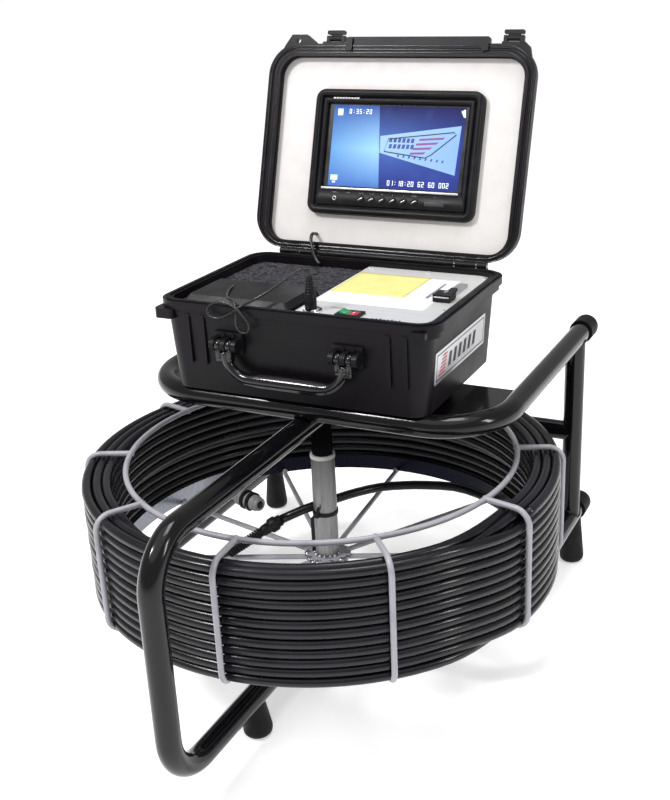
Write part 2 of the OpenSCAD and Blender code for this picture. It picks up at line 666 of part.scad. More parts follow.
// button i's own place on the lid: a slanted oval in the hood's lower edge
module button_place(i) {
    translate([-41.5 + 16.4 * i, -80.2, 0]) rotate([0, 0, -28]) children();
}
module button(i) {
    on_lid() button_place(i) slab(-6, 6, -3.4, 3.4, 3.3, 2.4, 7);
}
module button_1() color([0.05, 0.05, 0.05]) button(0);
module button_2() color([0.05, 0.05, 0.05]) button(1);
module button_3() color([0.05, 0.05, 0.05]) button(2);
module button_4() color([0.05, 0.05, 0.05]) button(3);
module button_5() color([0.05, 0.05, 0.05]) button(4);
module button_6() color([0.05, 0.05, 0.05]) button(5);
module monitor_screen() color([0.1, 0.2, 0.4]) on_lid()
    slab(-105.9, 107.9, -214.2, -95.9, 2, 9, 10.6);
module latch_ears() color([0.03, 0.03, 0.03]) on_lid() for (x = latch_x) {
    for (s = [-1, 1])
        block([x + s * 11.5 - 2.5, latch_y - 3.5, latch_z - 3.5],
              [x + s * 11.5 + 2.5, latch_y + 6, latch_z + 3.5]);
    bar([x - 13, latch_y, latch_z], [x + 13, latch_y, latch_z], 1.5);
}
module latch(x) {
    on_lid() difference() {
        union() {
            bar([x - 8.6, latch_y, latch_z], [x + 8.6, latch_y, latch_z], 3.6);
            block([x - 8.6, latch_y - 8, latch_z - 1.5], [x + 8.6, latch_y, latch_z + 1.5]);
            slab(x - 14, x + 14, latch_y - 11, latch_y - 5.4, 2, latch_z - 2.5, latch_z + 2);
        }
        bar([x - 9, latch_y, latch_z], [x + 9, latch_y, latch_z], 1.5 + run);
    }
}
module latch_left() color([0.03, 0.03, 0.03]) latch(latch_x[0]);
module latch_right() color([0.03, 0.03, 0.03]) latch(latch_x[1]);
module lid_lead() color([0.03, 0.03, 0.03]) {
    sweep(lid_lead_route, 2.4, 4, 10);
    on_lid() translate([lead_hole[0], lead_hole[1], plate_at]) mirror([0, 0, 1])
        cylinder(r1 = 4.2, r2 = 2.6, h = 8);
}
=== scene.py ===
"""Pipe-inspection camera reel: the looks over the CAD frame. Metres, +Z up, single front leg at -Y."""

import math
import random

import bmesh
import bpy
from mathutils import Matrix, Vector, noise


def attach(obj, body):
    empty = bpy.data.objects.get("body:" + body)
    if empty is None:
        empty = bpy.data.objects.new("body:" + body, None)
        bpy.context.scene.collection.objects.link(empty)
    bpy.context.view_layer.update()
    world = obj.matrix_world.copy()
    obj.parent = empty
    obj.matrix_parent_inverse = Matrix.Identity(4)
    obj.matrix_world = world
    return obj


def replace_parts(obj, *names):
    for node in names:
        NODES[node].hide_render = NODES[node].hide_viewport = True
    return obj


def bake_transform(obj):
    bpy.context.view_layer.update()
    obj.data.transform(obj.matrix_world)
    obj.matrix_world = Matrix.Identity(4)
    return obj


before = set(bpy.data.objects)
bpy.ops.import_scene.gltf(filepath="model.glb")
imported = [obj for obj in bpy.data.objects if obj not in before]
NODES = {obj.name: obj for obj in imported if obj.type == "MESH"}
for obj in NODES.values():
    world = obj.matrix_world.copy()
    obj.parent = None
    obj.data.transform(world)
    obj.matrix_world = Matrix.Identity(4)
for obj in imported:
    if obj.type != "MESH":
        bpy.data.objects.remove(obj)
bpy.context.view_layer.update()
MM = 0.001

# ---------- camera ----------

CAM_AT = Vector((0.6551, -1.2290, 0.9145))
CAM_AZIMUTH = math.radians(25.42)
CAM_ELEVATION = math.radians(21.86)
CAM_ROLL = math.radians(-2.10)

cam_data = bpy.data.cameras.new("camera")
cam_data.lens = 51.63
cam_data.sensor_width = 36
cam_data.shift_x = -0.0428
cam_data.shift_y = 0.0133
cam_data.clip_start = 0.05
cam = bpy.data.objects.new("camera", cam_data)
bpy.context.scene.collection.objects.link(cam)
cam.matrix_world = (Matrix.Translation(CAM_AT) @ Matrix.Rotation(CAM_AZIMUTH, 4, "Z")
                    @ Matrix.Rotation(math.pi / 2 - CAM_ELEVATION, 4, "X")
                    @ Matrix.Rotation(CAM_ROLL, 4, "Z"))
bpy.context.scene.camera = cam


# ---------- building blocks ----------

def link(obj, body):
    bpy.context.scene.collection.objects.link(obj)
    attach(obj, body)
    return obj


def mesh_object(name, bm, mat, body, smooth=True):
    bmesh.ops.recalc_face_normals(bm, faces=bm.faces)
    me = bpy.data.meshes.new(name)
    bm.to_mesh(me)
    bm.free()
    for p in me.polygons:
        p.use_smooth = smooth
    me.materials.append(mat)
    obj = bpy.data.objects.new(name, me)
    if body is None:
        bpy.context.scene.collection.objects.link(obj)
        return obj
    return link(obj, body)


def spline(points, per):
    """Points on one smooth Catmull-Rom curve through the given ones."""
    pts = [Vector(p) for p in points]
    out = []
    for i in range(len(pts) - 1):
        a, b, c, d = pts[max(i - 1, 0)], pts[i], pts[i + 1], pts[min(i + 2, len(pts) - 1)]
        for j in range(per):
            t = j / per
            out.append(0.5 * (2 * b + (c - a) * t + (2 * a - 5 * b + 4 * c - d) * t * t
                              + (3 * b - a - 3 * c + d) * t ** 3))
    out.append(pts[-1])
    return out


def tube_bm(path, radius, sides=16, closed=False, bm=None):
    """A round tube along a path; radius is a number or one for each point."""
    bm = bm or bmesh.new()
    m = len(path)
    rings, up = [], Vector((0.13, 0.21, 1.0))
    for i in range(m):
        a = path[i - 1] if closed or i > 0 else path[0]
        b = path[(i + 1) % m] if closed or i < m - 1 else path[m - 1]
        t = (b - a).normalized()
        up = (up - t * up.dot(t)).normalized()
        side = t.cross(up)
        r = radius[i] if isinstance(radius, (list, tuple)) else radius
        rings.append([bm.verts.new(path[i] + r * (math.cos(2 * math.pi * k / sides) * up
                                                  + math.sin(2 * math.pi * k / sides) * side))
                      for k in range(sides)])
    for i in range(m if closed else m - 1):
        p, q = rings[i], rings[(i + 1) % m]
        for k in range(sides):
            bm.faces.new((p[k], p[(k + 1) % sides], q[(k + 1) % sides], q[k]))
    if not closed:
        bm.faces.new(rings[0][::-1])
        bm.faces.new(rings[-1])
    return bm


def box_bm(lo, hi, bevel=0.0, bm=None, matrix=None):
    """A box between two corners, its edges rounded."""
    part = bmesh.new()
    bmesh.ops.create_cube(part, size=1)
    lo, hi = Vector(lo), Vector(hi)
    for v in part.verts:
        v.co = Vector([(lo[i] + hi[i]) / 2 + v.co[i] * (hi[i] - lo[i]) for i in range(3)])
    if bevel:
        bmesh.ops.bevel(part, geom=part.edges[:], offset=bevel, segments=3, profile=0.5, affect="EDGES")
    return merge(part, bm, matrix)


def lathe_bm(profile, segments=40, bm=None, matrix=None):
    """A turned solid about +Z from (radius, z) pairs; its first and last radius may be 0."""
    part = bmesh.new()
    rings = []
    for r, z in profile:
        if r < 1e-7:
            rings.append([part.verts.new((0, 0, z))])
        else:
            rings.append([part.verts.new((r * math.cos(2 * math.pi * k / segments),
                                          r * math.sin(2 * math.pi * k / segments), z))
                          for k in range(segments)])
    for p, q in zip(rings, rings[1:]):
        for k in range(segments):
            n = (k + 1) % segments
            if len(p) == 1 and len(q) > 1:
                part.faces.new((p[0], q[n], q[k]))
            elif len(q) == 1 and len(p) > 1:
                part.faces.new((p[k], p[n], q[0]))
            elif len(p) > 1:
                part.faces.new((p[k], p[n], q[n], q[k]))
    for ring in (rings[0], rings[-1]):
        if len(ring) > 1:
            part.faces.new(ring)
    return merge(part, bm, matrix)


def merge(part, bm, matrix):
    """Adds part to bm, moved by matrix; returns part itself where there is no bm."""
    if matrix is not None:
        part.transform(matrix)
    if bm is None:
        return part
    me = bpy.data.meshes.new("part")
    part.to_mesh(me)
    part.free()
    bm.from_mesh(me)
    bpy.data.meshes.remove(me)
    return bm


def mm_at(x, y, z):
    return Matrix.Translation(Vector((x, y, z)) * MM)


def mm_box(xs, ys, zs, bevel=0.0, bm=None, matrix=None):
    """box_bm in millimetres, from its spans along x, y and z."""
    lo, hi = ([span[end] * MM for span in (xs, ys, zs)] for end in (0, 1))
    return box_bm(lo, hi, bevel * MM, bm, matrix)


def mm_lathe(profile, segments=40, bm=None, matrix=None):
    """lathe_bm in millimetres."""
    return lathe_bm([(r * MM, z * MM) for r, z in profile], segments, bm, matrix)


def rounded_outline(x0, x1, y0, y1, r, steps=8):
    """Corner-rounded rectangle as a closed list of (x, y), counter-clockwise."""
    out = []
    corners = ((x1 - r, y1 - r), (x0 + r, y1 - r), (x0 + r, y0 + r), (x1 - r, y0 + r))
    for n, (cx, cy) in enumerate(corners):
        for k in range(steps + 1):
            a = math.radians(90 * n + 90 * k / steps)
            out.append((cx + r * math.cos(a), cy + r * math.sin(a)))
    return out


def prism_bm(outline, z0, z1, bevel=0.0, bm=None, matrix=None):
    """A flat plate with the given outline, its top and bottom edges rounded."""
    part = bmesh.new()
    low = [part.verts.new((x, y, z0)) for x, y in outline]
    high = [part.verts.new((x, y, z1)) for x, y in outline]
    n = len(outline)
    for k in range(n):
        part.faces.new((low[k], low[(k + 1) % n], high[(k + 1) % n], high[k]))
    part.faces.new(low[::-1])
    part.faces.new(high)
    if bevel:
        rim = [e for e in part.edges if abs(e.verts[0].co.z - e.verts[1].co.z) < 1e-9]
        bmesh.ops.bevel(part, geom=rim, offset=bevel, segments=2, profile=0.5, affect="EDGES")
    return merge(part, bm, matrix)


def rounded_edges(node, width, segments=3):
    """Softens a CAD node's edges for the light, without touching its mesh."""
    obj = NODES[node]
    mod = obj.modifiers.new("edges", "BEVEL")
    mod.width = width
    mod.segments = segments
    mod.limit_method = "ANGLE"
    mod.angle_limit = math.radians(35)
    mod.harden_normals = True


# ---------- materials ----------

class Look:
    """A node material on one Principled shader, its textures laid out in metres on the object."""

    def __init__(self, name, colour, rough, metal=0.0, coat=0.0, specular=0.5):
        self.mat = bpy.data.materials.new(name)
        self.mat.use_nodes = True
        self.nodes, self.links = self.mat.node_tree.nodes, self.mat.node_tree.links
        self.shader = self.nodes["Principled BSDF"]
        self.colour = colour
        self.shader.inputs["Base Color"].default_value = (*colour, 1)
        self.shader.inputs["Roughness"].default_value = rough
        self.shader.inputs["Metallic"].default_value = metal
        self.shader.inputs["Coat Weight"].default_value = coat
        self.shader.inputs["Coat Roughness"].default_value = 0.05
        self.shader.inputs["Specular IOR Level"].default_value = specular
        self.rough = rough
        self.normal = None

    def add(self, kind, **values):
        node = self.nodes.new(kind)
        for key, value in values.items():
            if key in node.inputs:
                node.inputs[key].default_value = value
            else:
                setattr(node, key, value)
        return node

    def place(self, scale=(1, 1, 1)):
        coords = self.add("ShaderNodeTexCoord")
        mapping = self.add("ShaderNodeMapping")
        mapping.inputs["Scale"].default_value = scale
        self.links.new(coords.outputs["Object"], mapping.inputs["Vector"])
        return mapping.outputs["Vector"]

    def noise(self, scale, detail=4.0, stretch=(1, 1, 1), roughness=0.55):
        node = self.add("ShaderNodeTexNoise", Scale=scale, Detail=detail, Roughness=roughness)
        self.links.new(self.place(stretch), node.inputs["Vector"])
        return node.outputs["Fac"]

    def spread(self, value, low, high, out_low, out_high):
        node = self.add("ShaderNodeMapRange")
        for key, number in zip(("From Min", "From Max", "To Min", "To Max"), (low, high, out_low, out_high)):
            node.inputs[key].default_value = number
        self.links.new(value, node.inputs["Value"])
        return node.outputs["Result"]

    def tint(self, value, colour, start=0.45, end=0.7):
        """Blends towards a second colour where value rises from start to end."""
        mix = self.add("ShaderNodeMix", data_type="RGBA")
        self.links.new(self.spread(value, start, end, 0, 1), mix.inputs["Factor"])
        held = self.shader.inputs["Base Color"]
        if held.is_linked:
            self.links.new(held.links[0].from_socket, mix.inputs["A"])
        else:
            mix.inputs["A"].default_value = (*self.colour, 1)
        mix.inputs["B"].default_value = (*colour, 1)
        self.links.new(mix.outputs["Result"], held)
        return self

    def vary_rough(self, value, low, high, start=0.3, end=0.7):
        self.links.new(self.spread(value, start, end, low, high), self.shader.inputs["Roughness"])
        return self

    def bump(self, value, height, strength=1.0):
        node = self.add("ShaderNodeBump", Strength=strength, Distance=height)
        self.links.new(value, node.inputs["Height"])
        if self.normal is not None:
            self.links.new(self.normal, node.inputs["Normal"])
        self.normal = node.outputs["Normal"]
        self.links.new(self.normal, self.shader.inputs["Normal"])
        return self

    def voronoi(self, scale, feature="F1", stretch=(1, 1, 1)):
        node = self.add("ShaderNodeTexVoronoi", Scale=scale, feature=feature)
        self.links.new(self.place(stretch), node.inputs["Vector"])
        return node.outputs["Distance"]


def paint_black():
    look = Look("gloss_black_paint", (0.003, 0.003, 0.004), 0.15, coat=0.3, specular=0.2)
    look.vary_rough(look.noise(14), 0.10, 0.22)
    look.tint(look.noise(180, 6), (0.014, 0.012, 0.013), 0.62, 0.78)
    return look.bump(look.noise(260, 2), 0.00035, 0.25)


def wire_coat():
    look = Look("grey_powder_coat", (0.33, 0.33, 0.36), 0.36)
    look.tint(look.noise(28, 5), (0.24, 0.24, 0.27), 0.50, 0.75)
    look.tint(look.noise(190, 3), (0.18, 0.17, 0.17), 0.70, 0.80)
    look.vary_rough(look.noise(40), 0.26, 0.46)
    return look.bump(look.noise(900, 2), 0.0003, 0.35)


def rod_jacket():
    look = Look("push_rod_jacket", (0.004, 0.004, 0.006), 0.27, coat=0.08, specular=0.3)
    look.tint(look.noise(9, 4), (0.012, 0.010, 0.016), 0.45, 0.75)
    look.tint(look.noise(240, 5), (0.035, 0.032, 0.033), 0.70, 0.84)
    look.vary_rough(look.noise(22), 0.17, 0.36)
    return look.bump(look.noise(420, 3), 0.0003, 0.2)


def case_plastic():
    look = Look("moulded_case_plastic", (0.0045, 0.0035, 0.005), 0.34, specular=0.16)
    look.tint(look.noise(6, 3), (0.009, 0.006, 0.010), 0.45, 0.75)
    look.vary_rough(look.noise(12), 0.26, 0.42)
    return look.bump(look.noise(700, 3), 0.0005, 0.30)


def matt_plastic():
    look = Look("matt_black_plastic", (0.005, 0.0045, 0.006), 0.38, specular=0.2)
    look.vary_rough(look.noise(30), 0.34, 0.52)
    look.tint(look.noise(60), (0.013, 0.012, 0.014), 0.5, 0.75)
    return look.bump(look.noise(1200, 2), 0.0003, 0.25)


def rubber():
    look = Look("black_rubber", (0.005, 0.005, 0.006), 0.5, specular=0.2)
    look.tint(look.noise(35, 5), (0.018, 0.017, 0.016), 0.55, 0.8)
    look.vary_rough(look.noise(50), 0.45, 0.7)
    return look.bump(look.noise(500, 4), 0.0004, 0.3)


def brushed(name, colour, along=(1, 60, 60), rough=(0.26, 0.42), dark=0.86, metal=1.0):
    look = Look(name, colour, 0.34, metal=metal)
    streak = look.noise(12, 6, along, 0.7)
    look.tint(streak, tuple(c * dark for c in colour), 0.40, 0.66)
    look.vary_rough(streak, *rough)
    look.tint(look.noise(7, 3), tuple(c * 0.93 for c in colour), 0.5, 0.7)
    return look.bump(streak, 0.00012, 0.35)


def foam_look():
    look = Look("open_cell_foam", (0.016, 0.016, 0.019), 0.9, specular=0.15)
    cells = look.voronoi(330)
    look.tint(cells, (0.055, 0.055, 0.062), 0.15, 0.65)
    look.tint(look.noise(90, 5), (0.006, 0.006, 0.007), 0.50, 0.68)
    look.bump(cells, 0.0012, 0.8)
    return look.bump(look.noise(150, 5), 0.002, 0.7)


def plain(name, colour, rough, metal=0.0, fine=800, drift=0.8, coat=0.0):
    """A finish with a little drift in colour and gloss and a fine surface."""
    look = Look(name, colour, rough, metal, coat)
    look.tint(look.noise(40, 4), tuple(c * drift for c in colour), 0.45, 0.75)
    look.vary_rough(look.noise(60), rough * 0.8, min(1, rough * 1.25))
    return look.bump(look.noise(fine, 2), 0.00025, 0.25)


M_BLACK = paint_black().mat
M_WIRE = wire_coat().mat
M_ROD = rod_jacket().mat
M_CASE = case_plastic().mat
M_MATT = matt_plastic().mat
M_RUBBER = rubber().mat
M_PANEL = brushed("brushed_panel", (0.74, 0.74, 0.73), rough=(0.42, 0.55), metal=0.55).mat
M_PLATE = plain("lid_plate_off_white", (0.70, 0.68, 0.67), 0.42, fine=600, drift=0.93).mat
M_STEEL = brushed("brushed_steel", (0.56, 0.57, 0.59), (40, 40, 2), (0.2, 0.4)).mat
M_CHROME = plain("polished_chrome", (0.82, 0.82, 0.84), 0.08, 1.0, drift=0.96).mat
M_HUB = brushed("hub_tube_grey", (0.27, 0.27, 0.27), (30, 30, 3), (0.3, 0.5)).mat
M_FOAM = foam_look().mat
M_PAPER = plain("white_sheet", (0.84, 0.84, 0.86), 0.5, fine=300, drift=0.97).mat
M_YELLOW = plain("yellow_sheet", (0.70, 0.66, 0.24), 0.6, fine=300, drift=0.93).mat
M_LEAD = plain("lead_jacket", (0.007, 0.007, 0.008), 0.3).mat
M_BUSH = plain("bush_plastic", (0.62, 0.61, 0.58), 0.4).mat
M_RED = plain("red_plastic", (0.42, 0.03, 0.05), 0.3).mat
M_HANDLE = plain("glossy_handle", (0.006, 0.005, 0.007), 0.13).mat


def band_look():
    """Bottom band: bare steel, with painted shade on its far half and right side, where it would reflect the
    dark coil.
    """
    look = brushed("band_steel", (0.36, 0.38, 0.42), (20, 60, 20), (0.2, 0.34))
    place = look.add("ShaderNodeTexCoord")
    axes = look.add("ShaderNodeSeparateXYZ")
    look.links.new(place.outputs["Object"], axes.inputs["Vector"])
    # painted shade: the band darkens towards its far side (Y) and its right side (X), standing for the dark
    # coil it reflects there
    look.tint(axes.outputs["Y"], (0.012, 0.012, 0.02), 0.10, 0.16)
    look.tint(axes.outputs["X"], (0.012, 0.012, 0.02), 0.0, 0.08)
    return look.mat


M_BAND = band_look()
M_GREYCAST = plain("grey_casting", (0.26, 0.25, 0.25), 0.45).mat
M_GREEN = plain("green_plastic", (0.03, 0.28, 0.10), 0.3).mat
M_WHITE = plain("white_print", (0.80, 0.80, 0.80), 0.5, fine=2000).mat
M_PRINT = plain("grey_print", (0.30, 0.30, 0.33), 0.6, fine=2000).mat
# dark print, also used as painted shade in the screw slots
M_INK_AND_SHADE = plain("dark_print_and_painted_shade", (0.02, 0.02, 0.03), 0.5, fine=2000).mat
M_BLUE = plain("blue_print", (0.03, 0.06, 0.30), 0.5, fine=2000).mat
M_SILVER = brushed("silver_plate", (0.70, 0.70, 0.72), (20, 60, 20), (0.3, 0.45)).mat

CAD_LOOKS = {
    M_BLACK: "c_frame tray_tube tray_plate tray_saddle base_tube rear_legs rear_cross_tube axle_sleeves",
    M_WIRE: "hoop_cage top_ring",
    M_BAND: "bottom_band",
    M_HUB: "hub_tube",
    M_BUSH: "hub_bushes",
    M_STEEL: "axle hinge_pins memory_slot",
    M_RUBBER: "caps_tray caps_base foot_front feet_rear case_seal case_runners",
    M_ROD: "rod_coil rod_tail",
    M_CASE: "case_base lid_shell handle",
    M_MATT: "rod_tie rod_guide rod_coupling lead_spring camera_head camera_skid charger_box charger_plug "
            "switch_housing memory_stick handle_brackets hinge_leaves lid_knuckles monitor_hood "
            "latch_ears latch_left latch_right "
            "button_1 button_2 button_3 button_4 button_5 button_6",
    M_FOAM: "foam_block",
    M_PANEL: "control_panel",
    M_PLATE: "lid_panel",
    M_CHROME: "socket_ring",
    M_LEAD: "leader_cable charger_lead lid_lead monitor_screen",
    M_PAPER: "labels",
    M_RED: "rocker",
}
for mat, names in CAD_LOOKS.items():
    for name in names.split():
        data = NODES[name].data
        data.materials.clear()
        data.materials.append(mat)

# ---------- cords ----------


def mm(points):
    return [Vector(p) * MM for p in points]


def free_cord(name, node, route, steps, radius, mat, body,
              sides=14):
    """A cord along its route in part.scad, standing for that CAD node."""
    path = spline(mm(route), steps)
    obj = mesh_object(name, tube_bm(path, radius * MM, sides), mat, None if isinstance(body, tuple) else body)
    if isinstance(body, tuple):
        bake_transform(obj)
    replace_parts(obj, node)
    return obj


TAIL = [(275, -58.5, 202.8), (278.6, -25, 202.8), (275.6, 12, 203.2), (264.5, 48, 204.5),
        (242.5, 81, 206), (210, 109, 208), (173, 127, 210), (135, 135, 210.5), (96, 126.5, 210.5),
        (67, 114, 211), (39, 96, 211.5), (17, 68, 213), (0.5, 40, 214), (-13.5, 18.6, 213.5),
        (-35.5, 2.4, 207), (-62, -14, 195)]
LEADER = [(-120, -62, 155.5), (-137, -78, 152.5), (-170, -104, 150.5), (-208, -98, 150.5),
          (-233, -58, 150.5), (-242, 0, 150.5), (-238, 50, 150.5), (-224, 88, 154), (-205, 95, 158.5)]
CHARGER = [(12, -32, 547), (11, -33, 556), (3, -36, 558), (-12, -41, 548), (-34, -49, 532),
           (-54, -58, 520), (-66, -68, 514), (-79, -72, 505), (-97, -73, 497), (-110, -73, 500),
           (-112, -72, 509), (-99, -71, 517), (-80, -71, 516), (-64, -72.5, 506), (-54, -73, 493),
           (-56, -73, 483), (-66, -73, 482), (-72, -73, 492), (-71, -72, 506), (-76, -67, 516),
           (-86, -60, 519), (-95, -50, 516.8), (-104, -38, 515.8), (-112, -22, 515.8),
           (-118, -6, 515.8), (-122, 8, 514)]
LID_LEAD = [(-110, 227.2, 534.5), (-110, 219, 536.9), (-109.6, 211, 538), (-108, 203.5, 534.5),
            (-105.5, 199, 527.5), (-102, 194.5, 520.5), (-98, 188.5, 516.5), (-91.5, 181.8, 511.5),
            (-86, 178.2, 507), (-82, 176.5, 504.8)]
SPRING_START, SPRING_END = mm([(-84, -32, 180), (-120, -62, 155.5)])
TAIL_END = Vector(TAIL[-1]) * MM
HEAD_BACK, HEAD_FRONT = mm([(-205, 95, 158.5), (-150, 78, 158.5)])


def along(a, b):
    """Matrix whose +Z runs from a towards b, at a."""
    return Matrix.Translation(a) @ (b - a).to_track_quat("Z", "Y").to_matrix().to_4x4()


# what the cords carry: the tie and coupling on the rod, the spring and camera head on the cable
tie = bmesh.new()
mm_box((-4, 4), (-3.2, 3.2), (0, 6), 0.8, tie, mm_at(-4.5, -17.6, 210.2))
mm_box((-1.6, 1.6), (-0.6, 0.6), (0, 14), 0.3, tie, mm_at(-4.5, -19.5, 214) @ Matrix.Rotation(0.35, 4, "Y"))
tie_head = mesh_object("tie_head", tie, M_MATT, "reel")

coupling_frame = along(TAIL_END, SPRING_START)
coupling_len = (SPRING_START - TAIL_END).length / MM
coupling = mm_lathe([(0, 0), (7.4, 0), (8.0, 1.2), (8.0, 6), (9.6, 7.2), (10.3, 8.4), (10.3, 17), (9.4, 18.2),
                     (7.8, 19.5), (7.8, 27), (6.6, coupling_len - 0.5), (0, coupling_len)],
                    32, None, coupling_frame)
for k in range(10):
    mm_box((9.7, 10.45), (-1.1, 1.1), (8.6, 16.8), 0.3, coupling,
           coupling_frame @ Matrix.Rotation(math.radians(36 * k), 4, "Z"))
coupling_obj = mesh_object("coupling", coupling, M_MATT, "reel")
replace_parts(coupling_obj, "rod_coupling")

SPRING_TURNS, SPRING_R, TURN_STEPS = 13, 5.9, 24
spring_len = (SPRING_END - SPRING_START).length / MM
coil = []
for k in range(TURN_STEPS * SPRING_TURNS + 1):
    a = 2 * math.pi * k / TURN_STEPS
    coil.append((SPRING_R * math.cos(a), SPRING_R * math.sin(a),
                 1.9 + (spring_len - 3.8) * k / (TURN_STEPS * SPRING_TURNS)))
spring = tube_bm(mm(coil), 1.75 * MM, 10)
mm_lathe([(0, 0), (6.2, 0), (6.2, 2.4), (4.4, 3), (4.4, spring_len - 3), (6.2, spring_len - 2.4),
          (6.2, spring_len), (0, spring_len)], 28, spring)
spring.transform(along(SPRING_START, SPRING_END))
spring_obj = mesh_object("camera_spring", spring, M_MATT, "reel")
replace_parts(spring_obj, "lead_spring")

head_frame = along(HEAD_BACK, HEAD_FRONT)
head_len = (HEAD_FRONT - HEAD_BACK).length / MM
head = mm_lathe([(0, 0), (5.4, 0), (7.6, 1.4), (7.9, 9.8), (11.0, 11), (11.7, 12), (11.7, 13.6), (12.3, 14.2),
                 (12.3, 19.8), (11.7, 20.4), (11.7, head_len - 7), (10.6, head_len - 6),
                 (9.9, head_len - 5.4), (9.9, head_len - 0.8), (9.2, head_len), (6.4, head_len),
                 (5.8, head_len - 1.6), (0, head_len - 1.6)], 40, None, head_frame)
head_obj = mesh_object("camera_body", head, M_GREYCAST, "reel")
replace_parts(head_obj, "camera_head")
band = mm_lathe([(11.6, 24), (12.2, 24.4), (12.2, 29.6), (11.6, 30)], 40, None, head_frame)
glass = mm_lathe([(0, head_len - 1.5), (5.7, head_len - 1.5), (5.2, head_len - 0.9), (0, head_len - 0.6)],
                 32, None, head_frame)
lamps = bmesh.new()
for k in range(8):
    mm_lathe([(0, 0), (0.9, 0), (0.9, 0.5), (0, 0.9)], 14, lamps,
             head_frame @ Matrix.Rotation(k * math.pi / 4, 4, "Z") @ mm_at(7.9, 0, head_len - 0.9))
head_parts = [head_obj,
              mesh_object("camera_red_band", band, M_RED, "reel"),
              mesh_object("camera_window", glass, M_MATT, "reel"),
              mesh_object("camera_lamps", lamps, M_WHITE, "reel")]

free_cord("rod_end", "rod_tail", TAIL, 2, 6.3, M_ROD, "reel",
          20)
free_cord("camera_cable", "leader_cable", LEADER, 4, 3.5, M_LEAD, "reel")
free_cord("charger_cord", "charger_lead", CHARGER, 3, 1.6, M_LEAD, "stand",
          sides=10)
free_cord("monitor_lead", "lid_lead", LID_LEAD, 4, 2.4, M_LEAD, ("lid", "stand"))


# ---------- reel ----------

def wound_rod():
    """The wound push rod: down the outer layer, up the next, down the inner one to its free end."""
    pitch, top_row, outer, low, start = 12.6, 11, 306.9, 153.0, -12
    third = start + 24 * 360
    ramps = [(start + 360 * k + 334, 26, -1, 0) for k in range(11)] + [(start + 360 * 11 + 334, 26, 0, 1)]
    ramps += [(start + 360 * k + 334, 26, 1, 0) for k in range(12, 23)] + [(third - 26, 26, 0, 1)]
    ramps += [(third + 240 + 360 * k, 24, -1, 0) for k in range(6)] + [(third + 2160 - 26, 26, -1.048, 0.048)]
    path = []
    for step in range(30 * 120 + 1):
        angle = start + 3 * step
        row, layer = top_row, 0.0
        for at, width, rows, layers in ramps:
            t = max(0.0, min(1.0, (angle - at) / width))
            t = t * t * (3 - 2 * t)
            row += rows * t
            layer += layers * t
        ease = min(1.0, (30 * 120 - step) / 40)
        turn = step // 120
        wave = ease * (0.28 * math.sin(math.radians(2 * angle) + 1.7 * turn) + 0.2 * math.sin(5.1 * turn))
        r = outer - pitch * layer - ease * (0.35 + 0.3 * math.sin(math.radians(3 * angle) + 2.3 * turn))
        a = math.radians(angle)
        path.append(Vector((r * math.cos(a), r * math.sin(a), low + pitch * row + wave)) * MM)
    return tube_bm(path, 6.3 * MM, 12)


rod = mesh_object("wound_push_rod", wound_rod(), M_ROD, "reel")
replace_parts(rod, "rod_coil")


def weld(bm, at, size, seed, squash=(1, 1, 1)):
    """A lumpy bead of weld."""
    part = bmesh.new()
    bmesh.ops.create_icosphere(part, subdivisions=3, radius=size)
    for v in part.verts:
        n = v.co.normalized()
        v.co *= (1 + 0.13 * math.sin(9 * n.x + seed) * math.sin(8 * n.y + 2 * seed)
                 + 0.08 * math.sin(15 * n.z + seed))
        v.co = Vector((v.co.x * squash[0], v.co.y * squash[1], v.co.z * squash[2]))
    merge(part, bm, Matrix.Translation(at))


cage_welds = bmesh.new()
for i in range(10):
    a = math.radians(22.4 + 36 * i)
    out = Vector((math.cos(a), math.sin(a), 0))
    weld(cage_welds, out * 256.3 * MM + Vector((0, 0, 301.8 * MM)), 4.6 * MM, i)
    weld(cage_welds, out * 285.5 * MM + Vector((0, 0, 147 * MM)), 4.2 * MM, i + 3)
mesh_object("cage_welds", cage_welds, M_WIRE, "reel")

hub_welds = bmesh.new()
for i in range(20):
    a = math.radians(18 * i)
    at = Vector((27 * math.cos(a), 27 * math.sin(a), 146.5 + 1.3 * (i % 2))) * MM
    weld(hub_welds, at, 4.2 * MM, i, (1.2, 1.2, 0.6))
for i in range(14):
    a = math.radians(360 / 14 * i)
    weld(hub_welds, Vector((17 * math.cos(a), 17 * math.sin(a), 150.4)) * MM, 2.7 * MM, i + 1)
mesh_object("hub_weld", hub_welds, M_STEEL, "reel")


# ---------- stand ----------

TUBE_R, LEG_Y, WELD_STEPS = 14.5, 343, 72


def leg_weld(bm, x, z, way, seed):
    """A ring of weld where a rear leg meets a stand tube, above it where way is 1 and below where -1."""
    path, radii = [], []
    for k in range(WELD_STEPS):
        a = 2 * math.pi * k / WELD_STEPS
        rise = max(4.0, TUBE_R * abs(math.sin(a)))
        ring = TUBE_R + 0.1
        path.append(Vector((x + ring * math.cos(a), LEG_Y + ring * math.sin(a), z + way * rise)) * MM)
        radii.append(1.7 * MM * (1 + 0.2 * math.sin(4.1 * k + seed)))
    tube_bm(path, radii, 8, True, bm)


leg_welds = bmesh.new()
for x, z, way, seed in ((-288, 85, 1, 0), (-249, 378, -1, 1), (247, 85, 1, 1), (247, 378, -1, 2)):
    leg_weld(leg_welds, x, z, way, seed)
mesh_object("leg_welds", leg_welds, M_BLACK, "stand")

EDGE_WIDTHS = {
    0.0009: "case_base handle_brackets lid_shell",
    0.0008: "caps_tray caps_base charger_box tray_saddle axle_sleeves",
    0.0007: "hinge_leaves lid_knuckles memory_stick rod_guide camera_skid "
            "button_1 button_2 button_3 button_4 button_5 button_6",
    0.0006: "tray_plate latch_ears latch_left latch_right",
    0.0005: "case_seal switch_housing hub_tube",
    0.0004: "memory_slot socket_ring",
    0.0003: "control_panel monitor_screen",
}
for width, names in EDGE_WIDTHS.items():
    for name in names.split():
        rounded_edges(name, width)


# ---------- case ----------

